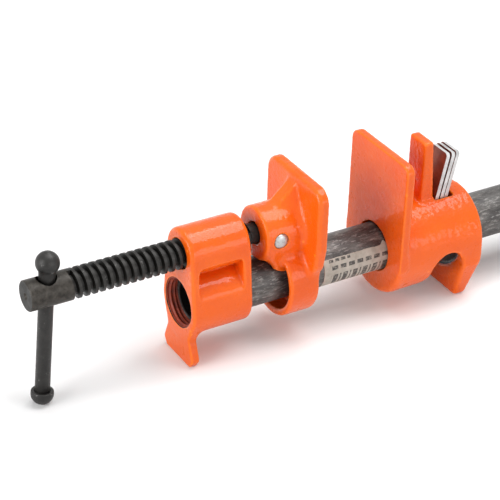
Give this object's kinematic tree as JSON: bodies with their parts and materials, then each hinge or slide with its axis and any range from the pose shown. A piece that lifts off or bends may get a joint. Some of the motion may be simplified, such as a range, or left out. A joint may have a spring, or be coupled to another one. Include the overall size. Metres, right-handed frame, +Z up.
{
  "type": "woodworking pipe clamp",
  "caption": "Pipe clamp with a screw-driven front jaw and a sliding clutch jaw on a round steel pipe, resting on cast feet.",
  "frame": {"origin": "on the ground, midway along the clamp and on the pipe's vertical plane", "axes": "+X along the pipe from the screw's handle towards the pipe's free end, +Z up from the feet to the jaws' tops"},
  "size_m": [0.6844, 0.0434, 0.0763],
  "materials": {
    "black_pipe": "black scale",
    "paper": "matte",
    "orange_paint": "gloss paint",
    "black_oxide": "black oxide",
    "zinc": "zinc",
    "spring_steel": "bright"
  },
  "bodies": {
    "bar_and_head": {"pipe": "black_pipe", "pipe_label": "paper", "head_casting": "orange_paint"},
    "screw_jaw": {"sliding_jaw": "orange_paint", "spindle_pin": "zinc"},
    "screw": {"clamp_screw": "black_oxide"},
    "handle": {"handle_bar": "black_oxide", "handle_knob": "black_oxide"},
    "tail_carrier": {"clutch_spring": "spring_steel"},
    "tail_jaw": {"tail_jaw": "orange_paint"},
    "clutch": {"clutch_plate_front": "zinc", "clutch_plate_middle": "zinc", "clutch_plate_rear": "zinc"}
  },
  "joints": [
    {"name": "jaw_slide", "type": "slide", "parent": "bar_and_head", "child": "screw_jaw", "axis": [1, 0, 0], "range_m": [-0.0065, 0.038]},
    {"name": "screw_turn", "type": "hinge", "parent": "screw_jaw", "child": "screw", "pos_m": [-0.27282, 0, 0.0513], "axis": [1, 0, 0], "range_deg": [-670, 3910]},
    {"name": "handle_slide", "type": "slide", "parent": "screw", "child": "handle", "axis": [0.1029, 0.0705, 0.9922], "range_m": [-0.0015, 0.036]},
    {"name": "tail_slide", "type": "slide", "parent": "bar_and_head", "child": "tail_carrier", "axis": [1, 0, 0], "range_m": [0, 0.47]},
    {"name": "tail_swivel", "type": "hinge", "parent": "tail_carrier", "child": "tail_jaw", "pos_m": [-0.15282, 0, 0.0273], "axis": [1, 0, 0], "continuous": true},
    {"name": "clutch_release", "type": "hinge", "parent": "tail_jaw", "child": "clutch", "pos_m": [-0.14732, 0, 0.0476], "axis": [0, 1, 0], "range_deg": [-6, 0], "stiffness_Nm_per_rad": 0.5, "springref_deg": 8.59, "deforming": ["clutch_spring"]}
  ],
  "couplings": [
    {"joint": "screw_turn", "follows": "jaw_slide", "rad_per_m": 1795.2}
  ]
}
